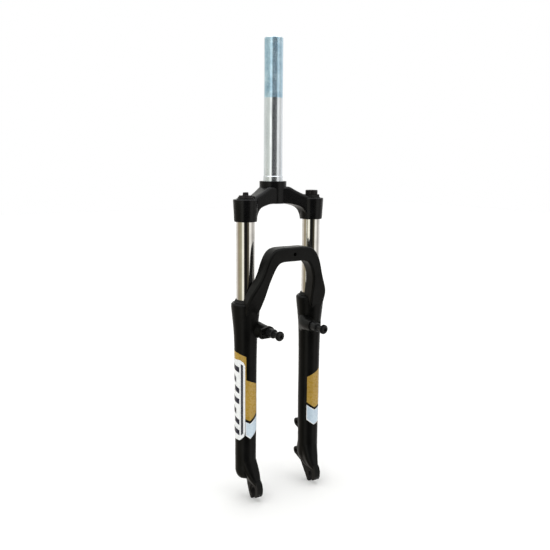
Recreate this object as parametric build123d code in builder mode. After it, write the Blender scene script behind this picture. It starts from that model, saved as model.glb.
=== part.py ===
from build123d import *
import math
import os

os.makedirs("parts", exist_ok=True)

# A bicycle suspension fork, in millimetres.
# Origin: steerer axis on the crown-race seat. +Z up the steerer, -Y forward, +X the rider's left.

# ---------------------------------------------------------------- driving dimensions
LEFT = 1
RIGHT = -1
SIDES = (LEFT, RIGHT)

STEERER_R = 14.3
STEERER_BORE_R = 12.7
STEERER_TOP = 212.0
STEERER_FOOT = -31.0
STEERER_SPIGOT_R = 15.6
RACE_SEAT_R = 15.0
RACE_SEAT_H = 7.0
RACE_SEAT_RAMP = 1.0
STEERER_TOP_BEVEL = 1.0
THREAD_LENGTH = 88.0
THREAD_PITCH = 25.4 / 26
THREAD_DEPTH = 0.55
THREAD_OPEN_SHARE = 0.8
THREAD_OVERCUT = 0.1
KEYWAY_W = 3.2
KEYWAY_DEPTH = 1.0

LEG_X = 60.0
LEG_Y = -19.0
STANCHION_R = 14.0
STANCHION_BORE_R = 12.5
STANCHION_FOOT = -316.0
STANCHION_BEVEL = 1.0
TRAVEL = 80.0

CROWN_BOSS_R = 20.9
CROWN_BOSS_BASE = -34.0
POD_TOP_R = 18.8
POD_FOOT_R = 17.2
POD_TOP = -25.9
POD_FOOT = -59.0
CAP_SEAT_R = 14.0
CAP_FLANGE_R = 13.7
CAP_FLANGE_TOP = -24.5
CAP_FLANGE_BEVEL = 0.5
CAP_HEX_FLATS_R = 11.8
CAP_HEX_TOP = -20.6
CAP_PLUG_FOOT = -42.0
CAP_SPIGOT_FOOT = -48.0

RUN_FIT = 0.05
BODY_GAP = 0.3
OVERCUT = 1.0

SEAL_R = 18.0
SEAL_TOP = -176.5
SEAL_FOOT = -190.0
SEAL_RECESS_TOP = -175.5
RIM_Z = -181.2
RIM_R = 22.3
LEG_BORE_R = 15.2
LEG_LOWER_BORE_R = 14.9
LEG_BORE_STEP = 0.5
LEG_FLOOR_SLOPE = 4.0
LEG_FLOOR = -446.0
LEG_FLOOR_UNDER = -455.0
LEG_END = -462.5
BUSH_TOP_Z = -192.0
BUSH_TOP_LEN = 20.0
BUSH_LOW_Z = -286.0
BUSH_LOW_LEN = 18.0

ROD_R = 5.0
ROD_HEAD_R = 11.6
ROD_HEAD_TOP = -276.0
ROD_HEAD_FOOT = -282.0
GUIDE_TOP = -304.0
GUIDE_FOOT = -312.0
GUIDE_SPIGOT_TOP = -298.0
BUMPER_BORE_R = 5.4
BUMPER_LEFT_R = 10.4
BUMPER_RIGHT_R = 9.0
BUMPER_EDGE_R = 1.0
CIRCLIP_T = 1.3
CIRCLIP_GROOVE_R = 13.2
CIRCLIP_INNER_R = 10.6
CIRCLIP_MOUTH = 7.0

SPRING_WIRE_R = 2.0
SPRING_MEAN_R = 9.2
SPRING_TURNS = 18
PLUNGER_TOP = -43.0
PLUNGER_FOOT = -56.0
PRELOAD_SCREW_R = 4.0
PRELOAD_SCREW_FOOT = -76.0
SMALL_BEVEL = 0.6
KNOB_R = 9.6
KNOB_TOP = -13.7
KNOB_EDGE_R = 1.2
KNOB_FLUTES = 20
KNOB_FLUTE_R = 0.95
KNOB_SCREW_HEAD_R = 2.8
KNOB_SCREW_R = 1.5
KNOB_SCREW_SINK = 1.8
KNOB_SCREW_LENGTH = 9.0
KNOB_SHAFT_DEPTH = 4.2

DIAL_R = 11.8
DIAL_FOOT = -24.2
DIAL_TOP = -22.2
DIAL_HUB_R = 10.2
DIAL_HUB_TOP = -20.2
DIAL_EDGE_R = 0.6
DIAL_FIN_TOP = -15.6
DIAL_FIN_L = 12.4
DIAL_FIN_W = 6.2
DIAL_FIN_CORNER_R = 2.4
DIAL_FIN_TURN = 37.0
DIAL_FIN_TAPER = 6.0
DIAL_SCREW_HEAD_R = 2.0
DIAL_SCREW_R = 1.2
DIAL_SCREW_HEAD_H = 1.5
DIAL_SCREW_LENGTH = 8.0
DIAL_SHAFT_DEPTH = 3.4
LOCK_SHAFT_R = 3.0
LOCK_VALVE_TOP = -178.0
LOCK_VALVE_FOOT = -182.0
DAMPER_R = 11.6
DAMPER_BORE_R = 10.0
PISTON_TOP = -276.0
PISTON_FOOT = -284.0
PISTON_SPIGOT_R = 3.5
PISTON_GROOVE_Z = -280.0
PISTON_GROOVE_H = 2.0
PISTON_GROOVE_DEPTH = 0.8
PORT_PITCH_R = 6.4
PORT_R = 1.5
PISTON_PORTS = 4
LOCK_VALVE_PORTS = 2

STUD_X = 40.0
STUD_Z = -223.0
LUG_FACE_Y = -56.0
LUG_R = 9.0
STUD_SHOULDER_Y = -69.0
STUD_END_Y = -83.0
STUD_R = 4.0
STUD_SHOULDER_R = 7.0
STUD_ROOT_R = 5.0
STUD_ROOT_Y = -43.0

FENDER_HOLE_Z = -107.0
FENDER_HOLE_R = 2.75

AXLE_Y = -42.0
AXLE_Z = -477.0
AXLE_SLOT_R = 4.6
AXLE_SLOT_RUN = 20.0
DROPOUT_INNER_X = 50.0
DROPOUT_T = 10.0

TAB_INNER_X = 50.6
TAB_T = 7.6
TAB_HOLE_Y = 1.0
TAB_UPPER_Z = -403.0
TAB_SPACING = 51.0
TAB_HOLE_R = 3.1
TAB_END_R = 6.9

FOOT_BOLT_R = 4.0
FOOT_BOLT_HEAD_R = 6.5
FOOT_RECESS_R = 8.2
FOOT_WASHER_T = 1.2
FOOT_BOLT_TOP = -429.0
FOOT_BOLT_GAP = 0.2
FOOT_BOLT_HEAD_H = 5.8
FOOT_BOLT_BEVEL = 0.8
FOOT_SOCKET_FLATS_R = 2.5
FOOT_SOCKET_DEPTH = 3.6


# ---------------------------------------------------------------- shared helpers
def leg_plane(side, z=0.0):
    """Horizontal plane centred on one leg's axis."""
    return Plane(origin=(side * LEG_X, LEG_Y, z), x_dir=(1, 0, 0), z_dir=(0, 0, 1))


def leg_section(side):
    """Vertical plane through one leg's axis: local x is the radius, local y is height."""
    return Plane(origin=(side * LEG_X, LEG_Y, 0), x_dir=(1, 0, 0), z_dir=(0, -1, 0))


def leg_axis(side):
    return Axis((side * LEG_X, LEG_Y, 0), (0, 0, 1))


def turned(side, points, mode=Mode.ADD):
    """Revolve a closed profile of (radius, height) points about one leg's axis."""
    with BuildSketch(leg_section(side)) as profile:
        with BuildLine():
            Polyline(*points, close=True)
        make_face()
    revolve(profile.sketch, axis=leg_axis(side), mode=mode)


def turned_ring(side, r_in, r_out, low, high, mode=Mode.ADD):
    """Revolve a rectangular ring about one leg's axis."""
    turned(side, ((r_in, low), (r_out, low), (r_out, high), (r_in, high)), mode)


def save(built, label):
    built.part.label = label
    export_step(built.part, f"parts/{label}.step")


# ---------------------------------------------------------------- steerer tube
thread_foot = STEERER_TOP - THREAD_LENGTH
with BuildPart() as steerer_tube:
    with BuildSketch(Plane.XZ):
        with BuildLine():
            Polyline(
                (STEERER_BORE_R, STEERER_FOOT),
                (STEERER_SPIGOT_R, STEERER_FOOT),
                (STEERER_SPIGOT_R, 0),
                (RACE_SEAT_R, 0),
                (RACE_SEAT_R, RACE_SEAT_H),
                (STEERER_R, RACE_SEAT_H + RACE_SEAT_RAMP),
                (STEERER_R, thread_foot),
                (STEERER_R, STEERER_TOP - STEERER_TOP_BEVEL),
                (STEERER_R - STEERER_TOP_BEVEL, STEERER_TOP),
                (STEERER_BORE_R, STEERER_TOP),
                close=True,
            )
        make_face()
    revolve(axis=Axis.Z)
    turns = int((THREAD_LENGTH - 2 * STEERER_TOP_BEVEL) / THREAD_PITCH)
    with BuildSketch(Plane.XZ):
        for turn in range(turns):
            groove_z = thread_foot + STEERER_TOP_BEVEL + turn * THREAD_PITCH
            with BuildLine():
                Polyline(
                    (STEERER_R + THREAD_OVERCUT, groove_z),
                    (STEERER_R + THREAD_OVERCUT, groove_z + THREAD_OPEN_SHARE * THREAD_PITCH),
                    (STEERER_R - THREAD_DEPTH, groove_z + THREAD_OPEN_SHARE * THREAD_PITCH / 2),
                    close=True,
                )
            make_face()
    revolve(axis=Axis.Z, mode=Mode.SUBTRACT)
    with BuildSketch(Plane.XY.offset(thread_foot)):
        with Locations((0, STEERER_R)):
            Rectangle(KEYWAY_W, 2 * KEYWAY_DEPTH)
    extrude(amount=THREAD_LENGTH + OVERCUT, mode=Mode.SUBTRACT)
save(steerer_tube, "steerer_tube")


# ---------------------------------------------------------------- crown
# Both lines are (x, z) on the rider's left and are mirrored to the right.
CROWN_TOP_LINE = ((17.0, -8.0), (21.0, -9.4), (25.0, -11.6), (29.0, -13.8), (35.0, -16.8), (41.0, -19.4),
                  (47.0, -21.8), (54.0, -24.6), (62.0, -25.9))
CROWN_UNDER_LINE = ((43.6, -49.0), (38.0, -40.6), (26.0, -36.0))
CROWN_UNDER_END_X = 45.5
CROWN_REACH = 60.0
ARM_ROOT_R = 18.2
ARM_END_R = 9.6
ARM_END_Y = LEG_Y - 3.6
ARM_CREASE_R = 30.0
ARM_EDGE_MIN = 12.0
ARM_EDGE_CLEAR = 0.5
ARM_TOP_FILLET = 5.0
ARM_UNDER_FILLET = 3.0
POD_EDGE_R = 1.4
BOSS_EDGE_R = 0.8

with BuildPart() as pods:
    for side in SIDES:
        turned(side, ((0, POD_FOOT), (POD_FOOT_R, POD_FOOT), (POD_TOP_R, POD_TOP), (0, POD_TOP)))
    fillet(pods.edges().filter_by(GeomType.CIRCLE), POD_EDGE_R)

with BuildPart() as crown:
    with BuildSketch(Plane.XY.offset(POD_FOOT)):
        for side in SIDES:
            with BuildSketch(mode=Mode.PRIVATE) as arm:
                Circle(ARM_ROOT_R)
                with Locations((side * LEG_X, ARM_END_Y)):
                    Circle(ARM_END_R)
                make_hull()
            add(arm.sketch)
    extrude(amount=-POD_FOOT)
    crease = crown.edges().filter_by(Axis.Z).filter_by(
        lambda e: abs(e.center().X) < ARM_EDGE_CLEAR and e.center().Y < 0
    )
    fillet(crease, ARM_CREASE_R)
    with BuildSketch(Plane.XZ):
        with BuildLine():
            top = Spline(*CROWN_TOP_LINE)
            outer = Polyline(
                top @ 1,
                (LEG_X + POD_TOP_R, POD_TOP),
                (LEG_X + POD_TOP_R, POD_FOOT),
                (CROWN_UNDER_END_X, POD_FOOT),
            )
            under = Spline(outer @ 1, *CROWN_UNDER_LINE, (0, CROWN_BOSS_BASE), tangents=((0, 1), (-1, 0)))
            Polyline(under @ 1, (0, CROWN_TOP_LINE[0][1]), top @ 0)
        make_face()
        mirror(about=Plane.YZ)
    extrude(amount=CROWN_REACH, both=True, mode=Mode.INTERSECT)
    upper_edges = crown.edges().filter_by(
        lambda e: e.length > ARM_EDGE_MIN and e.center().Z > POD_TOP + ARM_EDGE_CLEAR
    )
    fillet(upper_edges, ARM_TOP_FILLET)
    under_edges = crown.edges().filter_by(GeomType.BSPLINE).filter_by(
        lambda e: e.length > ARM_EDGE_MIN and e.center().Z < CROWN_BOSS_BASE + ARM_EDGE_CLEAR
    ).filter_by(
        lambda e: abs(e.center().Y) > ARM_END_R / 2
    )
    fillet(under_edges, ARM_UNDER_FILLET)
    add(pods.part)
    with BuildSketch(Plane.XY.offset(CROWN_BOSS_BASE)):
        Circle(CROWN_BOSS_R)
    extrude(amount=-CROWN_BOSS_BASE)
    fillet(crown.edges().filter_by(GeomType.CIRCLE).group_by(Axis.Z)[-1], BOSS_EDGE_R)
    with BuildSketch(Plane.XY.offset(CROWN_BOSS_BASE - OVERCUT)):
        Circle(STEERER_SPIGOT_R)
    extrude(amount=CROWN_REACH, mode=Mode.SUBTRACT)
    for side in SIDES:
        turned_ring(side, 0, STANCHION_R, POD_FOOT - OVERCUT, -POD_FOOT, Mode.SUBTRACT)
        turned_ring(side, 0, CAP_SEAT_R, POD_TOP, -POD_FOOT, Mode.SUBTRACT)
save(crown, "crown")


# ---------------------------------------------------------------- stanchions
def stanchion(side):
    """One chromed inner tube, with the circlip groove just above its foot."""
    with BuildPart() as tube:
        turned(side, (
            (STANCHION_BORE_R, POD_TOP),
            (STANCHION_R, POD_TOP),
            (STANCHION_R, STANCHION_FOOT + STANCHION_BEVEL),
            (STANCHION_R - STANCHION_BEVEL, STANCHION_FOOT),
            (STANCHION_BORE_R, STANCHION_FOOT),
            (STANCHION_BORE_R, GUIDE_FOOT - CIRCLIP_T),
            (CIRCLIP_GROOVE_R, GUIDE_FOOT - CIRCLIP_T),
            (CIRCLIP_GROOVE_R, GUIDE_FOOT),
            (STANCHION_BORE_R, GUIDE_FOOT),
        ))
    return tube


stanchion_left = stanchion(LEFT)
save(stanchion_left, "stanchion_left")
stanchion_right = stanchion(RIGHT)
save(stanchion_right, "stanchion_right")


# ---------------------------------------------------------------- spring-side top cap, knob and preload gear
with BuildPart() as preload_cap:
    turned_ring(LEFT, 0, CAP_FLANGE_R, POD_TOP, CAP_FLANGE_TOP)
    chamfer(preload_cap.edges().filter_by(GeomType.CIRCLE).group_by(Axis.Z)[-1], CAP_FLANGE_BEVEL)
    with BuildSketch(leg_plane(LEFT, CAP_FLANGE_TOP)):
        RegularPolygon(CAP_HEX_FLATS_R, 6, major_radius=False)
    extrude(amount=CAP_HEX_TOP - CAP_FLANGE_TOP)
    turned_ring(LEFT, 0, STANCHION_BORE_R, CAP_PLUG_FOOT, POD_TOP)
    turned_ring(
        LEFT, 0, PRELOAD_SCREW_R + RUN_FIT, CAP_PLUG_FOOT - OVERCUT, CAP_HEX_TOP + OVERCUT, Mode.SUBTRACT,
    )
save(preload_cap, "preload_cap")

with BuildPart() as preload_knob:
    turned_ring(LEFT, 0, KNOB_R, CAP_HEX_TOP + BODY_GAP, KNOB_TOP)
    fillet(preload_knob.edges().filter_by(GeomType.CIRCLE).group_by(Axis.Z)[-1], KNOB_EDGE_R)
    with BuildSketch(leg_plane(LEFT, CAP_HEX_TOP)):
        with PolarLocations(KNOB_R + KNOB_FLUTE_R / 2, KNOB_FLUTES):
            Circle(KNOB_FLUTE_R)
    extrude(amount=KNOB_TOP - CAP_HEX_TOP - 1.5 * KNOB_EDGE_R, mode=Mode.SUBTRACT)
    turned_ring(
        LEFT, 0, 1.2 * KNOB_SCREW_HEAD_R, KNOB_TOP - KNOB_SCREW_SINK, KNOB_TOP + OVERCUT, Mode.SUBTRACT,
    )
    turned_ring(LEFT, 0, PRELOAD_SCREW_R, CAP_HEX_TOP, KNOB_TOP - KNOB_SHAFT_DEPTH, Mode.SUBTRACT)
    turned_ring(LEFT, 0, KNOB_SCREW_R, KNOB_TOP - KNOB_SHAFT_DEPTH - OVERCUT, KNOB_TOP, Mode.SUBTRACT)
save(preload_knob, "preload_knob")


SOCKET_SHARE = 0.44
SOCKET_DEPTH_SHARE = 0.7
SCREW_TOP_GAP = 0.2


def socket_screw(side, head_r, shank_r, head_low, head_high, foot):
    """A small screw standing on a leg's axis, with a hexagonal socket in its head."""
    with BuildPart() as screw:
        turned_ring(side, 0, head_r, head_low, head_high)
        turned_ring(side, 0, shank_r, foot, head_low)
        with BuildSketch(leg_plane(side, head_high)) as socket:
            RegularPolygon(SOCKET_SHARE * head_r, 6, major_radius=False)
        extrude(socket.sketch, amount=-SOCKET_DEPTH_SHARE * (head_high - head_low), mode=Mode.SUBTRACT)
    return screw


knob_screw = socket_screw(
    LEFT, KNOB_SCREW_HEAD_R, KNOB_SCREW_R,
    KNOB_TOP - KNOB_SCREW_SINK, KNOB_TOP - SCREW_TOP_GAP, KNOB_TOP - KNOB_SCREW_LENGTH,
)
save(knob_screw, "knob_screw")

with BuildPart() as preload_screw:
    turned_ring(LEFT, 0, PRELOAD_SCREW_R, PRELOAD_SCREW_FOOT, KNOB_TOP - KNOB_SHAFT_DEPTH)
    chamfer(preload_screw.edges().group_by(Axis.Z)[0], SMALL_BEVEL)
    turned_ring(LEFT, 0, KNOB_SCREW_R, KNOB_TOP - KNOB_SCREW_LENGTH, KNOB_TOP, Mode.SUBTRACT)
save(preload_screw, "preload_screw")

with BuildPart() as preload_plunger:
    turned_ring(LEFT, 0, STANCHION_BORE_R - BODY_GAP, PLUNGER_FOOT, PLUNGER_TOP)
    chamfer(preload_plunger.edges(), SMALL_BEVEL)
    turned_ring(
        LEFT, 0, PRELOAD_SCREW_R + RUN_FIT, PLUNGER_FOOT - OVERCUT, PLUNGER_TOP + OVERCUT, Mode.SUBTRACT,
    )
save(preload_plunger, "preload_plunger")


# ---------------------------------------------------------------- coil spring and elastomer
with BuildPart() as coil_spring:
    spring_low = ROD_HEAD_TOP + SPRING_WIRE_R
    spring_length = PLUNGER_FOOT - ROD_HEAD_TOP - 2 * SPRING_WIRE_R
    with BuildLine(leg_plane(LEFT, spring_low)):
        Helix(pitch=spring_length / SPRING_TURNS, height=spring_length, radius=SPRING_MEAN_R)
    with BuildSketch(Plane(origin=(LEG_X + SPRING_MEAN_R, LEG_Y, spring_low), z_dir=(0, 1, 0))):
        Circle(SPRING_WIRE_R)
    sweep(is_frenet=True)
save(coil_spring, "coil_spring")

ELASTOMER_R = 5.6
ELASTOMER_TOP = -160.0
ELASTOMER_EDGE_R = 1.5
with BuildPart() as elastomer:
    turned_ring(LEFT, 0, ELASTOMER_R, ROD_HEAD_TOP, ELASTOMER_TOP)
    fillet(elastomer.edges(), ELASTOMER_EDGE_R)
save(elastomer, "elastomer")


# ---------------------------------------------------------------- lockout cap, dial and damper
with BuildPart() as lockout_cap:
    turned_ring(RIGHT, 0, CAP_FLANGE_R, POD_TOP, CAP_FLANGE_TOP)
    chamfer(lockout_cap.edges().filter_by(GeomType.CIRCLE).group_by(Axis.Z)[-1], CAP_FLANGE_BEVEL)
    turned_ring(RIGHT, 0, STANCHION_BORE_R, CAP_PLUG_FOOT, POD_TOP)
    turned_ring(RIGHT, 0, DAMPER_BORE_R, CAP_SPIGOT_FOOT, CAP_PLUG_FOOT)
    turned_ring(
        RIGHT, 0, LOCK_SHAFT_R + RUN_FIT, CAP_SPIGOT_FOOT - OVERCUT, CAP_FLANGE_TOP + OVERCUT, Mode.SUBTRACT,
    )
save(lockout_cap, "lockout_cap")

with BuildPart() as lockout_dial:
    turned_ring(RIGHT, 0, DIAL_R, DIAL_FOOT, DIAL_TOP)
    turned_ring(RIGHT, 0, DIAL_HUB_R, DIAL_TOP, DIAL_HUB_TOP)
    rims = lockout_dial.edges().filter_by(GeomType.CIRCLE)
    fillet(rims.filter_by(lambda e: e.center().Z > DIAL_TOP - RUN_FIT), DIAL_EDGE_R)
    with BuildSketch(leg_plane(RIGHT, DIAL_HUB_TOP).rotated((0, 0, DIAL_FIN_TURN))):
        RectangleRounded(DIAL_FIN_L, DIAL_FIN_W, DIAL_FIN_CORNER_R)
    extrude(amount=DIAL_FIN_TOP - DIAL_HUB_TOP, taper=DIAL_FIN_TAPER)
    fillet(lockout_dial.faces().sort_by(Axis.Z)[-1].edges(), DIAL_EDGE_R)
    turned_ring(
        RIGHT, 0, DIAL_SCREW_HEAD_R, DIAL_FIN_TOP - DIAL_SCREW_HEAD_H, DIAL_FIN_TOP + OVERCUT, Mode.SUBTRACT,
    )
    turned_ring(RIGHT, 0, DIAL_SCREW_R, DIAL_FIN_TOP - DIAL_SHAFT_DEPTH, DIAL_FIN_TOP, Mode.SUBTRACT)
    turned_ring(RIGHT, 0, LOCK_SHAFT_R, DIAL_FOOT - OVERCUT, DIAL_FIN_TOP - DIAL_SHAFT_DEPTH, Mode.SUBTRACT)
save(lockout_dial, "lockout_dial")

dial_screw = socket_screw(
    RIGHT, DIAL_SCREW_HEAD_R, DIAL_SCREW_R,
    DIAL_FIN_TOP - DIAL_SCREW_HEAD_H, DIAL_FIN_TOP - SCREW_TOP_GAP, DIAL_FIN_TOP - DIAL_SCREW_LENGTH,
)
save(dial_screw, "dial_screw")

with BuildPart() as lockout_shaft:
    turned_ring(RIGHT, 0, LOCK_SHAFT_R, LOCK_VALVE_TOP, DIAL_FIN_TOP - DIAL_SHAFT_DEPTH)
    turned_ring(RIGHT, 0, DAMPER_BORE_R - BODY_GAP, LOCK_VALVE_FOOT, LOCK_VALVE_TOP)
    turned_ring(RIGHT, 0, DIAL_SCREW_R, DIAL_FIN_TOP - DIAL_SCREW_LENGTH, DIAL_FIN_TOP, Mode.SUBTRACT)
    with BuildSketch(leg_plane(RIGHT, LOCK_VALVE_FOOT)):
        with PolarLocations(PORT_PITCH_R, LOCK_VALVE_PORTS):
            Circle(PORT_R)
    extrude(amount=LOCK_VALVE_TOP - LOCK_VALVE_FOOT, mode=Mode.SUBTRACT)
save(lockout_shaft, "lockout_shaft")

with BuildPart() as damper_tube:
    turned_ring(RIGHT, DAMPER_BORE_R, DAMPER_R, GUIDE_TOP, CAP_PLUG_FOOT)
save(damper_tube, "damper_tube")

with BuildPart() as damper_piston:
    turned_ring(RIGHT, PISTON_SPIGOT_R, DAMPER_BORE_R - RUN_FIT, PISTON_FOOT, PISTON_TOP)
    turned_ring(
        RIGHT, DAMPER_BORE_R - PISTON_GROOVE_DEPTH, DAMPER_BORE_R,
        PISTON_GROOVE_Z - PISTON_GROOVE_H / 2, PISTON_GROOVE_Z + PISTON_GROOVE_H / 2, Mode.SUBTRACT,
    )
    with BuildSketch(leg_plane(RIGHT, PISTON_FOOT)):
        with PolarLocations(PORT_PITCH_R, PISTON_PORTS):
            Circle(PORT_R)
    extrude(amount=PISTON_TOP - PISTON_FOOT, mode=Mode.SUBTRACT)
save(damper_piston, "damper_piston")


# ---------------------------------------------------------------- rods, guides, circlips, top-out bumpers
with BuildPart() as compression_rod:
    turned_ring(LEFT, 0, ROD_R, LEG_FLOOR, ROD_HEAD_FOOT)
    turned_ring(LEFT, 0, ROD_HEAD_R, ROD_HEAD_FOOT, ROD_HEAD_TOP)
    chamfer(compression_rod.edges().group_by(Axis.Z)[-1], SMALL_BEVEL)
    turned_ring(LEFT, 0, FOOT_BOLT_R, LEG_FLOOR - OVERCUT, FOOT_BOLT_TOP, Mode.SUBTRACT)
save(compression_rod, "compression_rod")

with BuildPart() as damper_rod:
    turned_ring(RIGHT, 0, ROD_R, LEG_FLOOR, PISTON_FOOT)
    turned_ring(RIGHT, 0, PISTON_SPIGOT_R, PISTON_FOOT, PISTON_TOP + PISTON_GROOVE_H)
    chamfer(damper_rod.edges().group_by(Axis.Z)[-1], SMALL_BEVEL)
    turned_ring(RIGHT, 0, FOOT_BOLT_R, LEG_FLOOR - OVERCUT, FOOT_BOLT_TOP, Mode.SUBTRACT)
save(damper_rod, "damper_rod")

with BuildPart() as rod_guide_left:
    turned_ring(LEFT, ROD_R + RUN_FIT, STANCHION_BORE_R, GUIDE_FOOT, GUIDE_TOP)
save(rod_guide_left, "rod_guide_left")

with BuildPart() as rod_guide_right:
    turned_ring(RIGHT, ROD_R + RUN_FIT, STANCHION_BORE_R, GUIDE_FOOT, GUIDE_TOP)
    turned_ring(RIGHT, ROD_R + RUN_FIT, DAMPER_BORE_R, GUIDE_TOP, GUIDE_SPIGOT_TOP)
save(rod_guide_right, "rod_guide_right")

with BuildPart() as guide_circlips:
    for side in SIDES:
        turned_ring(side, CIRCLIP_INNER_R, CIRCLIP_GROOVE_R, GUIDE_FOOT - CIRCLIP_T, GUIDE_FOOT)
        with BuildSketch(leg_plane(side, GUIDE_FOOT - CIRCLIP_T)):
            with Locations((0, CIRCLIP_GROOVE_R)):
                Rectangle(CIRCLIP_MOUTH, CIRCLIP_GROOVE_R)
        extrude(amount=CIRCLIP_T, mode=Mode.SUBTRACT)
save(guide_circlips, "guide_circlips")

with BuildPart() as top_out_bumper_left:
    turned_ring(LEFT, BUMPER_BORE_R, BUMPER_LEFT_R, GUIDE_TOP, ROD_HEAD_FOOT - BODY_GAP)
    fillet(top_out_bumper_left.edges().group_by(Axis.Z)[-1], BUMPER_EDGE_R)
save(top_out_bumper_left, "top_out_bumper_left")

with BuildPart() as top_out_bumper_right:
    turned_ring(RIGHT, BUMPER_BORE_R, BUMPER_RIGHT_R, GUIDE_SPIGOT_TOP, PISTON_FOOT - BODY_GAP)
    fillet(top_out_bumper_right.edges().group_by(Axis.Z)[-1], BUMPER_EDGE_R)
save(top_out_bumper_right, "top_out_bumper_right")


# ---------------------------------------------------------------- lower legs: bridge
# Outer and inner outlines are (x, z) on the rider's left; front and back outlines are (y, z).
ARCH_OUTER = ((0, -96.6), (21.0, -96.7), (33.0, -99.3), (42.0, -108.0), (48.5, -121.0), (55.5, -141.0),
              (65.0, -160.0), (70.0, -172.0), (71.6, -187.0), (69.0, -215.0))
ARCH_INNER = ((0, -118.0), (15.0, -118.0), (24.4, -120.0), (31.0, -127.3), (36.2, -139.0), (39.4, -150.0),
              (41.2, -161.0), (42.8, -172.0), (45.6, -188.0), (51.0, -215.0))
ARCH_FRONT = ((-61.5, -90.0), (-62.6, -100.0), (-62.9, -112.0), (-62.2, -124.0), (-60.2, -138.0),
              (-57.4, -150.0), (-54.2, -160.0), (-50.2, -171.0), (-45.6, -182.0), (-40.4, -194.0),
              (-34.0, -215.0))
ARCH_BACK = ((-38.0, -90.0), (-38.3, -115.0), (-37.8, -138.0), (-34.6, -150.0), (-30.2, -160.0),
             (-25.5, -172.0), (-20.5, -190.0), (-19.0, -215.0))
ARCH_EDGE_R = 3.6
BRIDGE_CLEAR_R = 16.4
BRIDGE_CLEAR_TOP = -91.0
ARCH_FACE_Y = -10.0
ARCH_DEPTH = 60.0
ARCH_HALF_W = 80.0
ARCH_EDGE_MIN = 30.0

with BuildPart() as arch:
    with BuildSketch(Plane.XZ.offset(-ARCH_FACE_Y)):
        with BuildLine():
            outer = Spline(*ARCH_OUTER, tangents=((1, 0), (-0.1, -1)))
            inner = Spline(*ARCH_INNER, tangents=((1, 0), (0.1, -1)))
            Line(outer @ 0, inner @ 0)
            Line(outer @ 1, inner @ 1)
        make_face()
        mirror(about=Plane.YZ)
    extrude(amount=ARCH_DEPTH)
    with BuildSketch(Plane.YZ):
        with BuildLine():
            front = Spline(*ARCH_FRONT)
            back = Spline(*ARCH_BACK)
            Line(front @ 0, back @ 0)
            Line(front @ 1, back @ 1)
        make_face()
    extrude(amount=ARCH_HALF_W, both=True, mode=Mode.INTERSECT)
    long_edges = arch.edges().filter_by(
        lambda e: e.length > ARCH_EDGE_MIN and e.center().Z > ARCH_OUTER[-1][1] + ARCH_EDGE_R
    )
    fillet(long_edges, ARCH_EDGE_R)


# ---------------------------------------------------------------- lower legs: brake lugs
LUG_SECTIONS = (
    # y, centre x, centre z, half width, half height
    (-20.0, 51.0, -225.0, 14.0, 18.0),
    (-34.0, 45.0, -224.0, 12.6, 11.8),
    (-45.0, 41.6, -224.0, 10.4, 9.8),
    (LUG_FACE_Y, STUD_X, STUD_Z, LUG_R, LUG_R),
)
SPRING_HOLE_R = 1.3
SPRING_HOLE_PITCH = 4.2
SPRING_HOLE_DEPTH = 4.0
SPRING_EAR_X = 12.0
SPRING_EAR_DROP = 1.6
SPRING_EAR_W = 7.0
SPRING_EAR_H = 15.0
SPRING_EAR_CORNER_R = 2.4
SPRING_EAR_T = 5.0

with BuildPart() as brake_lugs:
    for y, x, z, half_w, half_h in LUG_SECTIONS:
        with BuildSketch(Plane(origin=(x, y, z), x_dir=(1, 0, 0), z_dir=(0, -1, 0))):
            Ellipse(half_w, half_h)
    loft()
    with BuildSketch(Plane(origin=(STUD_X, LUG_FACE_Y, STUD_Z), x_dir=(1, 0, 0), z_dir=(0, -1, 0))) as ear:
        Circle(LUG_R)
        with Locations((SPRING_EAR_X, -SPRING_EAR_DROP)):
            RectangleRounded(SPRING_EAR_W, SPRING_EAR_H, SPRING_EAR_CORNER_R)
        make_hull()
    extrude(amount=-SPRING_EAR_T)
    with BuildSketch(Plane(origin=(STUD_X, LUG_FACE_Y, STUD_Z), x_dir=(1, 0, 0), z_dir=(0, -1, 0))):
        with Locations((SPRING_EAR_X, -SPRING_EAR_DROP)):
            with GridLocations(SPRING_HOLE_PITCH, SPRING_HOLE_PITCH, 1, 3):
                Circle(SPRING_HOLE_R)
    extrude(amount=-SPRING_HOLE_DEPTH, mode=Mode.SUBTRACT)
    mirror(about=Plane.YZ)


# ---------------------------------------------------------------- lower legs: dropouts
# The plate's outline is (y, z), with the axle slot cut upward from its foot.
DROPOUT_PLATE = ((-21.5, -462.0), (-24.0, -474.0), (-29.0, -484.5), (-33.6, -492.2), (-38.0, -493.0),
                 (-47.2, -488.4), (-52.4, -486.0), (-55.2, -479.5), (-55.6, -473.0), (-53.4, -466.0),
                 (-50.4, -462.0))
PLATE_CORNER_R = 2.4
NECK_TOP = -430.0
NECK_TOP_R = 15.8
NECK_MID = -449.0
NECK_MID_W = 24.0
NECK_MID_Y = (-42.2, -4.0)
NECK_MID_INSET = 3.0
NECK_FOOT = -469.0
NECK_FOOT_Y = (-53.7, -23.0)
NECK_MID_ROUND = 0.4
NECK_FOOT_ROUND = 0.3
AXLE_FACE_R = 8.6
AXLE_FACE_DEPTH = 1.0

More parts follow.
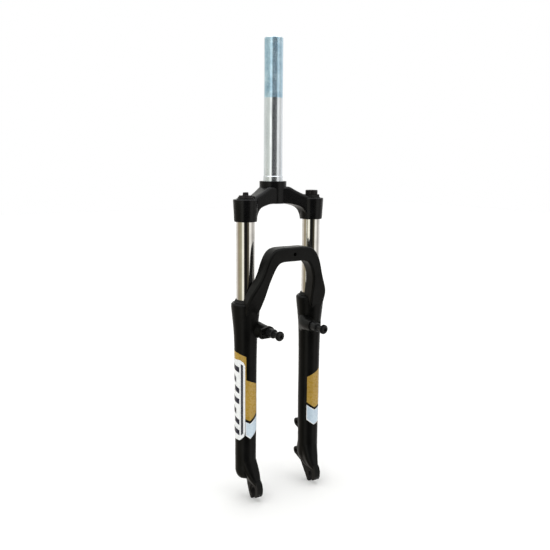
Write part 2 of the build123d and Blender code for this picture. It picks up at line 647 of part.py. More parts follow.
with BuildPart() as dropouts:
    with BuildSketch(Plane.XY.offset(NECK_TOP)):
        with Locations((LEG_X, LEG_Y)):
            Circle(NECK_TOP_R)
    with BuildSketch(Plane.XY.offset(NECK_MID)):
        with Locations((LEG_X - NECK_MID_INSET, sum(NECK_MID_Y) / 2)):
            RectangleRounded(NECK_MID_W, NECK_MID_Y[1] - NECK_MID_Y[0], NECK_MID_ROUND * NECK_MID_W)
    with BuildSketch(Plane.XY.offset(NECK_FOOT)):
        with Locations((DROPOUT_INNER_X + DROPOUT_T / 2, sum(NECK_FOOT_Y) / 2)):
            RectangleRounded(DROPOUT_T, NECK_FOOT_Y[1] - NECK_FOOT_Y[0], NECK_FOOT_ROUND * DROPOUT_T)
    loft()
    with BuildSketch(Plane.YZ.offset(DROPOUT_INNER_X)) as plate:
        with BuildLine():
            Polyline(*DROPOUT_PLATE, close=True)
        make_face()
        fillet(plate.vertices().filter_by(lambda v: v.Y < NECK_FOOT), PLATE_CORNER_R)
    extrude(amount=DROPOUT_T)
    with BuildSketch(Plane.YZ.offset(DROPOUT_INNER_X + DROPOUT_T)):
        with Locations((AXLE_Y, AXLE_Z)):
            Circle(AXLE_FACE_R)
    extrude(amount=-AXLE_FACE_DEPTH, mode=Mode.SUBTRACT)
    with BuildSketch(Plane.YZ.offset(DROPOUT_INNER_X - OVERCUT)):
        with Locations((AXLE_Y, AXLE_Z)):
            Circle(AXLE_SLOT_R)
        with Locations((AXLE_Y, AXLE_Z - AXLE_SLOT_RUN / 2)):
            Rectangle(2 * AXLE_SLOT_R, AXLE_SLOT_RUN)
    extrude(amount=DROPOUT_T + 2 * OVERCUT, mode=Mode.SUBTRACT)
    mirror(about=Plane.YZ)


# ---------------------------------------------------------------- lower legs: disc-brake tabs
TAB_LOWER_Z = TAB_UPPER_Z - TAB_SPACING
TAB_ROOT_Y = -14.0
TAB_ROOT_W = 2.0
TAB_ROOT_H = 21.0
TAB_ROOT_DROP = 1.5
# The web below the lower tab runs down to the dropout; its outline is (y, z).
WEB_LINE = ((2.0, -460.5), (-6.0, -461.5), (-11.5, -464.5), (-18.5, -473.5), (-25.5, -483.0),
            (-31.0, -490.0), (-36.0, -476.0), (-36.0, -455.0), (TAB_ROOT_Y, -440.0), (TAB_ROOT_Y, -450.0))

with BuildPart() as disc_tabs:
    with BuildSketch(Plane.YZ.offset(TAB_INNER_X)):
        for tab_z in (TAB_UPPER_Z, TAB_LOWER_Z):
            with BuildSketch(mode=Mode.PRIVATE) as tab:
                with Locations((TAB_HOLE_Y, tab_z)):
                    Circle(TAB_END_R)
                with Locations((TAB_ROOT_Y, tab_z - TAB_ROOT_DROP)):
                    Rectangle(TAB_ROOT_W, TAB_ROOT_H)
                make_hull()
            add(tab.sketch)
        with BuildLine():
            Polyline(*WEB_LINE, close=True)
        make_face()
    extrude(amount=TAB_T)


# ---------------------------------------------------------------- lower legs: the one casting
# The tube's outer line and its closed foot are (radius, z).
LEG_OUTER_LINE = ((16.5, -400.0), (17.0, -320.0), (17.6, -250.0), (18.9, -221.0), (20.8, -202.0),
                  (RIM_R, -186.0))
LEG_RIM_LINE = ((RIM_R - 0.2, -183.4), (RIM_R - 2.2, RIM_Z), (0, RIM_Z), (0, LEG_END), (9.0, LEG_END))
LEG_FOOT_LINE = ((13.6, -459.2), (16.4, -448.0))

low_seat_foot = BUSH_LOW_Z - BUSH_LOW_LEN

with BuildPart() as lower_legs:
    for side in SIDES:
        with BuildSketch(leg_section(side)):
            with BuildLine():
                body = Spline(*LEG_OUTER_LINE)
                rim = Polyline(body @ 1, *LEG_RIM_LINE)
                foot = Spline(rim @ 1, *LEG_FOOT_LINE, tangents=((1, 0), (0, 1)))
                Line(foot @ 1, body @ 0)
            make_face()
        revolve(axis=leg_axis(side))
    add(arch.part)
    add(brake_lugs.part)
    add(dropouts.part)
    add(disc_tabs.part)
    for side in SIDES:
        turned(side, (
            (0, LEG_FLOOR),
            (LEG_LOWER_BORE_R - LEG_FLOOR_SLOPE, LEG_FLOOR),
            (LEG_LOWER_BORE_R, LEG_FLOOR + LEG_FLOOR_SLOPE),
            (LEG_LOWER_BORE_R, low_seat_foot - LEG_BORE_STEP),
            (LEG_BORE_R, low_seat_foot),
            (LEG_BORE_R, SEAL_FOOT),
            (SEAL_R, SEAL_FOOT),
            (SEAL_R, SEAL_RECESS_TOP),
            (BRIDGE_CLEAR_R, SEAL_RECESS_TOP),
            (BRIDGE_CLEAR_R, BRIDGE_CLEAR_TOP),
            (0, BRIDGE_CLEAR_TOP),
        ), Mode.SUBTRACT)
        turned_ring(side, 0, FOOT_BOLT_R + FOOT_BOLT_GAP, LEG_END, LEG_FLOOR + OVERCUT, Mode.SUBTRACT)
        turned_ring(side, 0, FOOT_RECESS_R, LEG_END - OVERCUT, LEG_FLOOR_UNDER, Mode.SUBTRACT)
        with BuildSketch(Plane(origin=(side * STUD_X, STUD_ROOT_Y, STUD_Z), z_dir=(0, -1, 0))):
            Circle(STUD_ROOT_R)
        extrude(amount=STUD_ROOT_Y - STUD_SHOULDER_Y, mode=Mode.SUBTRACT)
    with BuildSketch(Plane(origin=(0, LEG_Y, FENDER_HOLE_Z), z_dir=(0, -1, 0))):
        Circle(FENDER_HOLE_R)
    extrude(amount=ARCH_DEPTH, mode=Mode.SUBTRACT)
    with BuildSketch(Plane.YZ.offset(TAB_INNER_X - OVERCUT)):
        with Locations((TAB_HOLE_Y, TAB_UPPER_Z), (TAB_HOLE_Y, TAB_LOWER_Z)):
            Circle(TAB_HOLE_R)
    extrude(amount=TAB_T + 2 * OVERCUT, mode=Mode.SUBTRACT)
save(lower_legs, "lower_legs")


# ---------------------------------------------------------------- seals and bushings
SEAL_LIP_R = 15.7
SEAL_LIP_FOOT_R = 16.7
SEAL_LIP_FOOT_H = 2.0
SEAL_LIP_RUN = 1.6
SEAL_HOLLOW_R = 15.0
SEAL_FLANGE_STEP = 0.2
SEAL_FLANGE_H = 1.2


def dust_seal(side):
    """Rubber wiper: a ring pressed into the leg's mouth with a conical lip on the stanchion."""
    with BuildPart() as seal:
        turned(side, (
            (STANCHION_R + RUN_FIT, SEAL_FOOT),
            (SEAL_R, SEAL_FOOT),
            (SEAL_R, RIM_Z),
            (SEAL_R - SEAL_FLANGE_STEP, RIM_Z),
            (SEAL_R - 2 * SEAL_FLANGE_STEP, RIM_Z + SEAL_FLANGE_H),
            (SEAL_LIP_FOOT_R, RIM_Z + SEAL_LIP_FOOT_H),
            (SEAL_LIP_R, SEAL_TOP),
            (STANCHION_R + RUN_FIT, SEAL_TOP),
            (STANCHION_R + RUN_FIT, SEAL_TOP - SEAL_LIP_RUN),
            (SEAL_HOLLOW_R, SEAL_TOP - 2 * SEAL_LIP_RUN),
            (SEAL_HOLLOW_R, SEAL_FOOT + 2 * SEAL_LIP_RUN),
            (STANCHION_R + RUN_FIT, SEAL_FOOT + SEAL_LIP_RUN),
        ))
    return seal


def bushing(side, top, length):
    """Plain bearing sleeve, pressed into the leg and running on the stanchion."""
    with BuildPart() as sleeve:
        turned_ring(side, STANCHION_R + RUN_FIT, LEG_BORE_R, top - length, top)
    return sleeve


save(dust_seal(LEFT), "dust_seal_left")
save(dust_seal(RIGHT), "dust_seal_right")
save(bushing(LEFT, BUSH_TOP_Z, BUSH_TOP_LEN), "upper_bushing_left")
save(bushing(RIGHT, BUSH_TOP_Z, BUSH_TOP_LEN), "upper_bushing_right")
save(bushing(LEFT, BUSH_LOW_Z, BUSH_LOW_LEN), "lower_bushing_left")
save(bushing(RIGHT, BUSH_LOW_Z, BUSH_LOW_LEN), "lower_bushing_right")


# ---------------------------------------------------------------- foot bolts and their washers
WASHER_FOOT = LEG_FLOOR_UNDER - FOOT_WASHER_T
FOOT_BOLT_FOOT = WASHER_FOOT - FOOT_BOLT_HEAD_H

with BuildPart() as foot_washers:
    for side in SIDES:
        turned_ring(
            side, FOOT_BOLT_R + FOOT_BOLT_GAP, FOOT_RECESS_R - FOOT_BOLT_GAP, WASHER_FOOT, LEG_FLOOR_UNDER,
        )
save(foot_washers, "foot_washers")

with BuildPart() as foot_bolts:
    for side in SIDES:
        turned_ring(side, 0, FOOT_BOLT_HEAD_R, FOOT_BOLT_FOOT, WASHER_FOOT)
        turned_ring(side, 0, FOOT_BOLT_R, WASHER_FOOT, FOOT_BOLT_TOP - OVERCUT)
        with BuildSketch(leg_plane(side, FOOT_BOLT_FOOT)):
            RegularPolygon(FOOT_SOCKET_FLATS_R, 6, major_radius=False)
        extrude(amount=FOOT_SOCKET_DEPTH, mode=Mode.SUBTRACT)
    chamfer(foot_bolts.edges().group_by(Axis.Z)[-1], FOOT_BOLT_BEVEL)
save(foot_bolts, "foot_bolts")


# ---------------------------------------------------------------- brake studs and their retaining bolts
BOLT_R = 3.0
BOLT_FLANGE_R = 7.3
BOLT_FLANGE_T = 1.6
BOLT_HEAD_R = 5.6
BOLT_HEAD_T = 2.8
BOLT_HEAD_EDGE_R = 1.1
BOLT_DEPTH = 6.0
BOLT_SOCKET_FLATS_R = 2.5
BOLT_SOCKET_DEPTH = 2.6
STUD_BEVEL = 1.2


def stud_plane(side, y):
    """Plane across one brake stud's axis, facing forward."""
    return Plane(origin=(side * STUD_X, y, STUD_Z), x_dir=(1, 0, 0), z_dir=(0, -1, 0))


def stud_disc(side, y_rear, y_front, radius, mode=Mode.ADD):
    """Cylinder on a brake stud's axis between two forward positions."""
    with BuildSketch(stud_plane(side, y_rear)) as disc:
        Circle(radius)
    extrude(disc.sketch, amount=y_rear - y_front, mode=mode)


def brake_stud(side):
    """Steel pivot: a root in the lug, a shoulder against its face and the journal for the brake arm."""
    with BuildPart() as stud:
        stud_disc(side, STUD_ROOT_Y, LUG_FACE_Y, STUD_ROOT_R)
        stud_disc(side, LUG_FACE_Y, STUD_SHOULDER_Y, STUD_SHOULDER_R)
        chamfer(stud.edges().filter_by(GeomType.CIRCLE).group_by(Axis.Y)[0], STUD_BEVEL)
        stud_disc(side, STUD_SHOULDER_Y, STUD_END_Y, STUD_R)
        stud_disc(side, STUD_END_Y + BOLT_DEPTH, STUD_END_Y - OVERCUT, BOLT_R, Mode.SUBTRACT)
    return stud


save(brake_stud(LEFT), "brake_stud_left")
save(brake_stud(RIGHT), "brake_stud_right")

with BuildPart() as brake_bolts:
    for side in SIDES:
        flange_front = STUD_END_Y - BOLT_FLANGE_T
        stud_disc(side, STUD_END_Y + BOLT_DEPTH, STUD_END_Y, BOLT_R)
        stud_disc(side, STUD_END_Y, flange_front, BOLT_FLANGE_R)
        stud_disc(side, flange_front, flange_front - BOLT_HEAD_T, BOLT_HEAD_R)
        with BuildSketch(stud_plane(side, flange_front - BOLT_HEAD_T)) as socket:
            RegularPolygon(BOLT_SOCKET_FLATS_R, 6, major_radius=False)
        extrude(socket.sketch, amount=-BOLT_SOCKET_DEPTH, mode=Mode.SUBTRACT)
    fillet(brake_bolts.edges().filter_by(GeomType.CIRCLE).group_by(Axis.Y)[0], BOLT_HEAD_EDGE_R)
save(brake_bolts, "brake_bolts")
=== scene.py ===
import math

import bmesh
import bpy
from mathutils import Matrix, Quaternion, Vector
from mathutils.bvhtree import BVHTree


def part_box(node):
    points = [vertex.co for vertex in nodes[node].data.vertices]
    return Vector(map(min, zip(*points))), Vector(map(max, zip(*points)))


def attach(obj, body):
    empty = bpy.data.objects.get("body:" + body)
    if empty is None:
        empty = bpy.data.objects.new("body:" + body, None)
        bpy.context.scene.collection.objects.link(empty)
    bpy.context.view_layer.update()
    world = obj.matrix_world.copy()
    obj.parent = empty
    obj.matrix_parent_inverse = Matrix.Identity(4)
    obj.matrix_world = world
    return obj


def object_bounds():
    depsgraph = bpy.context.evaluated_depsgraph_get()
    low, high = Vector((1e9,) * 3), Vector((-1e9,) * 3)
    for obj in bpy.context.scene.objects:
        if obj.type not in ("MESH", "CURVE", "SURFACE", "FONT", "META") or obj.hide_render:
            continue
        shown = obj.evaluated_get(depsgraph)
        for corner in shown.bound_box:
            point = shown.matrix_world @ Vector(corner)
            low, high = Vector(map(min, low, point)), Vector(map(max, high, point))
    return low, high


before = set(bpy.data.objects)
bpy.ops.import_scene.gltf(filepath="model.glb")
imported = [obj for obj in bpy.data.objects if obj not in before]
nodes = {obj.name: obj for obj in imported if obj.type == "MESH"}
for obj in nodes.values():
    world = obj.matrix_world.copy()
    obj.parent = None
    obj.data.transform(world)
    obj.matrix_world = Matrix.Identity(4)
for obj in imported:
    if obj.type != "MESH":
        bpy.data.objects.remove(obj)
cad_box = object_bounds()
cad_low, cad_high = (Vector(corner) for corner in cad_box)

# ---------------------------------------------------------------- viewpoint and stage sizes
VIEW_AZIMUTH = math.radians(-32.8)
VIEW_ELEVATION = math.radians(9.5)
VIEW_ROLL = math.radians(0.42)
VIEW_DISTANCE = 1.045
VIEW_LENS = 43.2
VIEW_SENSOR = 36.0
AIM_SIDEWAYS = 0.0042
AIM_HEIGHT = -0.1473

# ---------------------------------------------------------------- node-material helpers


def new_material(name):
    """An empty node material with its Principled shader and output, ready for wiring."""
    made = bpy.data.materials.new(name)
    made.use_nodes = True
    tree = made.node_tree
    tree.nodes.clear()
    out = tree.nodes.new("ShaderNodeOutputMaterial")
    shader = tree.nodes.new("ShaderNodeBsdfPrincipled")
    tree.links.new(shader.outputs["BSDF"], out.inputs["Surface"])
    return made, tree, shader


def position(tree):
    """The surface position in the row frame, which no pose changes."""
    return tree.nodes.new("ShaderNodeTexCoord").outputs["Object"]


def noise(tree, scale, detail=4.0, rough=0.55, stretch=(1, 1, 1)):
    """Noise value over the surface, optionally stretched along the axes."""
    mapping = tree.nodes.new("ShaderNodeMapping")
    mapping.inputs["Scale"].default_value = stretch
    tree.links.new(position(tree), mapping.inputs["Vector"])
    node = tree.nodes.new("ShaderNodeTexNoise")
    node.inputs["Scale"].default_value = scale
    node.inputs["Detail"].default_value = detail
    node.inputs["Roughness"].default_value = rough
    tree.links.new(mapping.outputs["Vector"], node.inputs["Vector"])
    return node.outputs["Fac"]


def spread(tree, value, low, high, at_low=0.35, at_high=0.65):
    """Map a value from one range onto another, clamped."""
    node = tree.nodes.new("ShaderNodeMapRange")
    node.inputs["From Min"].default_value = at_low
    node.inputs["From Max"].default_value = at_high
    node.inputs["To Min"].default_value = low
    node.inputs["To Max"].default_value = high
    tree.links.new(value, node.inputs["Value"])
    return node.outputs["Result"]


def mottle(tree, scale, detail, low=0.0, high=1.0):
    """Even noise, spread over a range of values."""
    return spread(tree, noise(tree, scale, detail), low, high)


# Places of the colour sockets among all those of a mix node.
COLOUR_SOCKETS = slice(6, 8)
COLOUR_OUTPUT = 2


def blend_colours(tree, factor, first, second):
    """Mix two colours, either of which may be a socket, by a socket factor."""
    node = tree.nodes.new("ShaderNodeMix")
    node.data_type = "RGBA"
    tree.links.new(factor, node.inputs["Factor"])
    for socket, colour in zip(node.inputs[COLOUR_SOCKETS], (first, second)):
        if isinstance(colour, bpy.types.NodeSocket):
            tree.links.new(colour, socket)
        else:
            socket.default_value = (*colour, 1.0)
    return node.outputs[COLOUR_OUTPUT]


def bumps(tree, shader, *layers):
    """Chain bump layers of (height socket, strength, distance) into the shader's normal."""
    last = None
    for height, strength, distance in layers:
        node = tree.nodes.new("ShaderNodeBump")
        node.inputs["Strength"].default_value = strength
        node.inputs["Distance"].default_value = distance
        tree.links.new(height, node.inputs["Height"])
        if last is not None:
            tree.links.new(last, node.inputs["Normal"])
        last = node.outputs["Normal"]
    tree.links.new(last, shader.inputs["Normal"])


# How far the surface grain rises, in metres.
FINE_GRAIN = 0.0002
DRAWN_GRAIN = 0.0003
SOFT_GRAIN = 0.0006


def paler(colour, gain, lift):
    """A lighter tone of a dark colour, for dust and wear."""
    return tuple(min(1.0, part * gain + lift) for part in colour)


DUST_SHARE = 0.35
DUST_GAIN = 1.9
DUST_LIFT = 0.004
COAT_ROUGHNESS = 0.28


def painted(name, colour, low_rough, high_rough, peel=0.12, coat=0.03, shine=0.2):
    """Satin paint: slight orange peel, uneven gloss and faint dust."""
    made, tree, shader = new_material(name)
    dust = mottle(tree, 45.0, 6.0, high=DUST_SHARE)
    dusty = paler(colour, DUST_GAIN, DUST_LIFT)
    tree.links.new(blend_colours(tree, dust, colour, dusty), shader.inputs["Base Color"])
    tree.links.new(mottle(tree, 160.0, 5.0, low_rough, high_rough), shader.inputs["Roughness"])
    shader.inputs["Specular IOR Level"].default_value = shine
    shader.inputs["Coat Weight"].default_value = coat
    shader.inputs["Coat Roughness"].default_value = COAT_ROUGHNESS
    bumps(
        tree,
        shader,
        (noise(tree, 900.0, 2.0), peel, FINE_GRAIN),
        (noise(tree, 90.0, 3.0), 0.06, SOFT_GRAIN),
    )
    return made


WEAR_SHARE = 0.5
WEAR_GAIN = 1.7
WEAR_LIFT = 0.006
MOULDED_SHINE = 0.22


def moulded(name, colour, low_rough, high_rough):
    """Moulded plastic or rubber with a fine grain."""
    made, tree, shader = new_material(name)
    patch = mottle(tree, 70.0, 5.0, high=WEAR_SHARE)
    worn = paler(colour, WEAR_GAIN, WEAR_LIFT)
    tree.links.new(blend_colours(tree, patch, colour, worn), shader.inputs["Base Color"])
    tree.links.new(mottle(tree, 260.0, 4.0, low_rough, high_rough), shader.inputs["Roughness"])
    shader.inputs["Specular IOR Level"].default_value = MOULDED_SHINE
    bumps(tree, shader, (noise(tree, 1400.0, 3.0), 0.25, FINE_GRAIN))
    return made


TARNISH = 0.86


def metal(name, colour, low_rough, high_rough, stretch=(1, 1, 1), scratch=0.05):
    """Bare or plated metal with drawn marks along one axis."""
    made, tree, shader = new_material(name)
    shader.inputs["Metallic"].default_value = 1.0
    patch = mottle(tree, 60.0, 6.0)
    dulled = tuple(part * TARNISH for part in colour)
    tree.links.new(blend_colours(tree, patch, colour, dulled), shader.inputs["Base Color"])
    marks = noise(tree, 220.0, 6.0, 0.6, stretch)
    tree.links.new(spread(tree, marks, low_rough, high_rough), shader.inputs["Roughness"])
    bumps(tree, shader, (marks, scratch, DRAWN_GRAIN))
    return made


TINT_FADE = 0.0008
STEERER_METALLIC = 0.88
BARE_STEEL = ((0.90, 0.945, 0.99), (0.76, 0.81, 0.86))
BLUE_ZINC = ((0.78, 0.92, 1.0), (0.58, 0.75, 0.86))


def steerer_metal(name, thread_foot):
    """Zinc-plated steel: neutral below, and blue-tinted over the thread."""
    made, tree, shader = new_material(name)
    shader.inputs["Metallic"].default_value = STEERER_METALLIC
    split = tree.nodes.new("ShaderNodeSeparateXYZ")
    tree.links.new(position(tree), split.inputs["Vector"])
    in_thread = spread(tree, split.outputs["Z"], 0.0, 1.0, thread_foot - TINT_FADE, thread_foot + TINT_FADE)
    streaks = spread(tree, noise(tree, 70.0, 6.0, stretch=(1, 1, 0.25)), 0.0, 1.0)
    bare = blend_colours(tree, streaks, *BARE_STEEL)
    clouds = mottle(tree, 55.0, 5.0)
    plated = blend_colours(tree, clouds, *BLUE_ZINC)
    tree.links.new(blend_colours(tree, in_thread, bare, plated), shader.inputs["Base Color"])
    rough = spread(tree, noise(tree, 240.0, 5.0, 0.6, (1, 1, 0.12)), 0.12, 0.26)
    tree.links.new(rough, shader.inputs["Roughness"])
    bumps(
        tree,
        shader,
        (noise(tree, 120.0, 4.0, 0.5, (1, 1, 0.3)), 0.10, SOFT_GRAIN),
        (noise(tree, 700.0, 3.0), 0.06, FINE_GRAIN),
    )
    return made


CHROME = metal("hard_chrome", (0.93, 0.92, 0.90), 0.03, 0.085, (1, 1, 0.1), 0.012)
CROWN_BLACK = painted("crown_powder_coat", (0.0030, 0.0029, 0.0033), 0.20, 0.31, coat=0.02, shine=0.19)
LEG_BLACK = painted("leg_satin_paint", (0.0030, 0.0030, 0.0028), 0.28, 0.40, coat=0.01, shine=0.12)
STEEL_BLACK = painted("black_oxide", (0.008, 0.008, 0.0085), 0.28, 0.42, 0.05, 0.0)
CAP_BLACK = moulded("cap_plastic", (0.006, 0.006, 0.006), 0.38, 0.50)
KNOB_BLACK = moulded("knob_plastic", (0.009, 0.007, 0.007), 0.28, 0.40)
RUBBER = moulded("wiper_rubber", (0.008, 0.008, 0.008), 0.55, 0.72)
BRIGHT = metal("bright_zinc", (0.62, 0.62, 0.61), 0.22, 0.38)
INNER = metal("inner_alloy", (0.75, 0.75, 0.76), 0.25, 0.42)
BRONZE = metal("bearing_bronze", (0.55, 0.42, 0.24), 0.30, 0.45)
FOAM = moulded("elastomer_foam", (0.50, 0.36, 0.09), 0.75, 0.9)
INNER_PLASTIC = moulded("inner_plastic", (0.06, 0.06, 0.065), 0.45, 0.6)

THREAD_LENGTH = 0.088
STEERER = steerer_metal("steerer_zinc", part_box("steerer_tube")[1].z - THREAD_LENGTH)

LOOKS = {
    "steerer_tube": STEERER,
    "crown": CROWN_BLACK,
    "stanchion_left": CHROME,
    "stanchion_right": CHROME,
    "lower_legs": LEG_BLACK,
    "dust_seal_left": RUBBER,
    "dust_seal_right": RUBBER,
    "preload_cap": CAP_BLACK,
    "lockout_cap": CAP_BLACK,
    "preload_knob": KNOB_BLACK,
    "lockout_dial": KNOB_BLACK,
    "coil_spring": STEEL_BLACK,
    "elastomer": FOAM,
    "foot_washers": BRIGHT,
    "foot_bolts": STEEL_BLACK,
    "brake_stud_left": STEEL_BLACK,
    "brake_stud_right": STEEL_BLACK,
    "brake_bolts": STEEL_BLACK,
    "knob_screw": STEEL_BLACK,
    "dial_screw": STEEL_BLACK,
    "guide_circlips": STEEL_BLACK,
    "preload_plunger": INNER_PLASTIC,
    "rod_guide_left": INNER_PLASTIC,
    "rod_guide_right": INNER_PLASTIC,
    "top_out_bumper_left": RUBBER,
    "top_out_bumper_right": RUBBER,
    "upper_bushing_left": BRONZE,
    "upper_bushing_right": BRONZE,
    "lower_bushing_left": BRONZE,
    "lower_bushing_right": BRONZE,
    "damper_rod": BRIGHT,
    "lockout_shaft": BRIGHT,
    "preload_screw": BRIGHT,
}
for name, shown in nodes.items():
    shown.data.materials.clear()
    shown.data.materials.append(LOOKS.get(name, INNER))


# ---------------------------------------------------------------- printed panels on the lower legs
PRINT_ROUGHNESS = (0.22, 0.34)
FILM_WEIGHT = 0.35
FILM_ROUGHNESS = 0.15


def plain_print(name, colour, second=None):
    """Glossy printed vinyl, one colour or a soft two-colour fade, with fine mottling."""
    made, tree, shader = new_material(name)
    fade = mottle(tree, 28.0, 2.0)
    tree.links.new(blend_colours(tree, fade, colour, second or colour), shader.inputs["Base Color"])
    tree.links.new(mottle(tree, 300.0, 4.0, *PRINT_ROUGHNESS), shader.inputs["Roughness"])
    shader.inputs["Coat Weight"].default_value = FILM_WEIGHT
    shader.inputs["Coat Roughness"].default_value = FILM_ROUGHNESS
    bumps(tree, shader, (noise(tree, 800.0, 2.0), 0.04, FINE_GRAIN))
    return made


GOLD = plain_print("print_gold", (0.50, 0.31, 0.048), (0.43, 0.26, 0.036))
WHITE = plain_print("print_white", (0.95, 0.96, 0.97), (0.90, 0.92, 0.94))
ICE = plain_print("print_ice_blue", (0.55, 0.68, 0.80), (0.66, 0.78, 0.88))
NAVY = plain_print("print_navy", (0.006, 0.008, 0.030))

leg_mesh = bmesh.new()
leg_mesh.from_mesh(nodes["lower_legs"].data)
LEG_TREE = BVHTree.FromBMesh(leg_mesh)
leg_mesh.free()

# Thickness of one printed layer, and the gap under the first one.
PRINT_SKIN = 0.00018
PRINT_GAP = 0.00004
# Lengths between bends, round the leg and up it.
CUT_STEP = 0.0022
RISE_STEP = 0.012
# The leg's usual radius, and a distance that is clear of it, from which the skin is found.
LEG_REACH = 0.0175
CAST_FROM = 0.06


def leg_centre(side):
    """Axis of one leg, from its dust seal."""
    low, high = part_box("dust_seal_" + side)
    return (low + high) / 2


def sliced(flat, axis, step):
    """Cut a flat outline across one axis at every step, so that it can bend there."""
    low = min(v.co[axis] for v in flat.verts)
    high = max(v.co[axis] for v in flat.verts)
    normal = Vector((0.0, 0.0, 0.0))
    normal[axis] = 1.0
    for cut in range(1, int((high - low) / step) + 1):
        everything = flat.verts[:] + flat.edges[:] + flat.faces[:]
        spot = normal * (low + cut * step)
        bmesh.ops.bisect_plane(flat, geom=everything, plane_co=spot, plane_no=normal)


def wrapped_print(name, side, outline, look, layer=0):
    """A closed, thin printed panel, cut to an outline and laid on the leg's skin.
    An outline is (angle in degrees, height); angles run from straight ahead, growing to the rider's left."""
    centre = leg_centre(side)
    flat = bmesh.new()
    corners = [flat.verts.new((math.radians(a) * LEG_REACH, h, 0.0)) for a, h in outline]
    flat.faces.new(corners)
    sliced(flat, 0, CUT_STEP)
    sliced(flat, 1, RISE_STEP)
    for v in flat.verts:
        angle = v.co.x / LEG_REACH
        outward = Vector((math.sin(angle), -math.cos(angle), 0.0))
        start = Vector((centre.x, centre.y, v.co.y)) + outward * CAST_FROM
        hit, _, _, _ = LEG_TREE.ray_cast(start, -outward)
        v.co = hit + outward * (PRINT_GAP + PRINT_SKIN * layer)
    bmesh.ops.recalc_face_normals(flat, faces=flat.faces[:])
    grown = bmesh.ops.extrude_face_region(flat, geom=flat.faces[:])
    for v in [g for g in grown["geom"] if isinstance(g, bmesh.types.BMVert)]:
        away = Vector((v.co.x - centre.x, v.co.y - centre.y, 0.0)).normalized()
        v.co += away * PRINT_SKIN
    bmesh.ops.recalc_face_normals(flat, faces=flat.faces[:])
    data = bpy.data.meshes.new(name)
    flat.to_mesh(data)
    flat.free()
    piece = bpy.data.objects.new(name, data)
    bpy.context.scene.collection.objects.link(piece)
    data.materials.append(look)
    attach(piece, "lowers")


# How high the tops of the two sets of panels stand over the foot of the legs.
RIGHT_RISE = 0.2375
LEFT_RISE = 0.1793
BORDER_ANGLE = 4.0
BORDER_HEIGHT = 0.0012

# Outlines are (angle in degrees, height in metres from the top of their set).

RIGHT_GOLD = (
    (-118.0, 0.0005),
    (-72.0, -0.0020),
    (-27.0, -0.0072),
    (-27.0, -0.0440),
    (44.0, -0.0530),
    (44.0, -0.0985),
    (-7.0, -0.1102),
    (-48.0, -0.1035),
    (-118.0, -0.1035),
)
RIGHT_WHITE = (
    (-150.0, -0.0135),
    (-60.0, -0.0125),
    (-40.0, -0.0165),
    (-32.5, -0.0215),
    (-32.5, -0.1265),
    (-38.0, -0.1350),
    (-62.0, -0.1415),
    (-150.0, -0.1415),
)
RIGHT_TAIL = (
    (-30.5, -0.1105),
    (-7.0, -0.1145),
    (44.0, -0.1040),
    (44.0, -0.1270),
    (-5.0, -0.1392),
    (-30.5, -0.1330),
)
LEFT_GOLD = (
    (-43.0, -0.0010),
    (40.0, 0.0115),
    (40.0, -0.0500),
    (0.0, -0.0535),
    (-43.0, -0.0440),
)
LEFT_TAIL = (
    (-44.0, -0.0485),
    (2.0, -0.0578),
    (40.0, -0.0543),
    (40.0, -0.0795),
    (-1.0, -0.0835),
    (-44.0, -0.0740),
)


def dropped(outline, top):
    """Heights of an outline measured from a panel's top."""
    return [(angle, top + height) for angle, height in outline]


def inset(outline):
    """The same outline pulled in towards its middle by the white border's width."""
    middle = sum(a for a, _ in outline) / len(outline)
    centre = sum(h for _, h in outline) / len(outline)
    return [
        (a - math.copysign(min(BORDER_ANGLE, abs(a - middle)), a - middle),
         h - math.copysign(min(BORDER_HEIGHT, abs(h - centre)), h - centre))
        for a, h in outline
    ]


leg_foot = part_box("lower_legs")[0].z
right_top = leg_foot + RIGHT_RISE
left_top = leg_foot + LEFT_RISE
right_tail = dropped(RIGHT_TAIL, right_top)
left_tail = dropped(LEFT_TAIL, left_top)
wrapped_print("print_gold_right", "right", dropped(RIGHT_GOLD, right_top), GOLD)
wrapped_print("print_white_right", "right", dropped(RIGHT_WHITE, right_top), WHITE, 1)
wrapped_print("print_tail_right", "right", right_tail, WHITE, 1)
wrapped_print("print_tail_fill_right", "right", inset(right_tail), ICE, 2)
wrapped_print("print_gold_left", "left", dropped(LEFT_GOLD, left_top), GOLD)
wrapped_print("print_tail_left", "left", left_tail, WHITE)
wrapped_print("print_tail_fill_left", "left", inset(left_tail), ICE, 1)

# A plain edge stripe and a row of slanted bars stand on the white panel.
STRIPE = ((-55.0, -0.0185), (-43.0, -0.0208), (-43.0, -0.1297), (-55.0, -0.1335))
BAR_COUNT = 7
BAR_PITCH = 0.0168
BAR_HEIGHT = 0.0082
BAR_SLANT = 0.0045
BAR_TOP = -0.0200
BAR_SPANS = ((-120.0, -64.0), (-120.0, -86.0), (-98.0, -64.0))


def slanted_bar(span, top):
    """Outline of one bar, from its upper corner at the span's start."""
    start, end = span
    return [
        (start, top),
        (end, top - BAR_SLANT),
        (end, top - BAR_SLANT - BAR_HEIGHT),
        (start, top - BAR_HEIGHT),
    ]


wrapped_print("print_stripe", "right", dropped(STRIPE, right_top), NAVY, 2)
for bar in range(BAR_COUNT):
    bar_shape = slanted_bar(BAR_SPANS[bar % len(BAR_SPANS)], right_top + BAR_TOP - bar * BAR_PITCH)
    wrapped_print("print_bar_" + str(bar), "right", bar_shape, NAVY, 2)


# ---------------------------------------------------------------- stage, lights and camera
FLOOR_SIZE = 12.0
FLOOR_DROP = 0.0005
FLOOR_GREY = 0.93
FLOOR_ROUGHNESS = 0.8


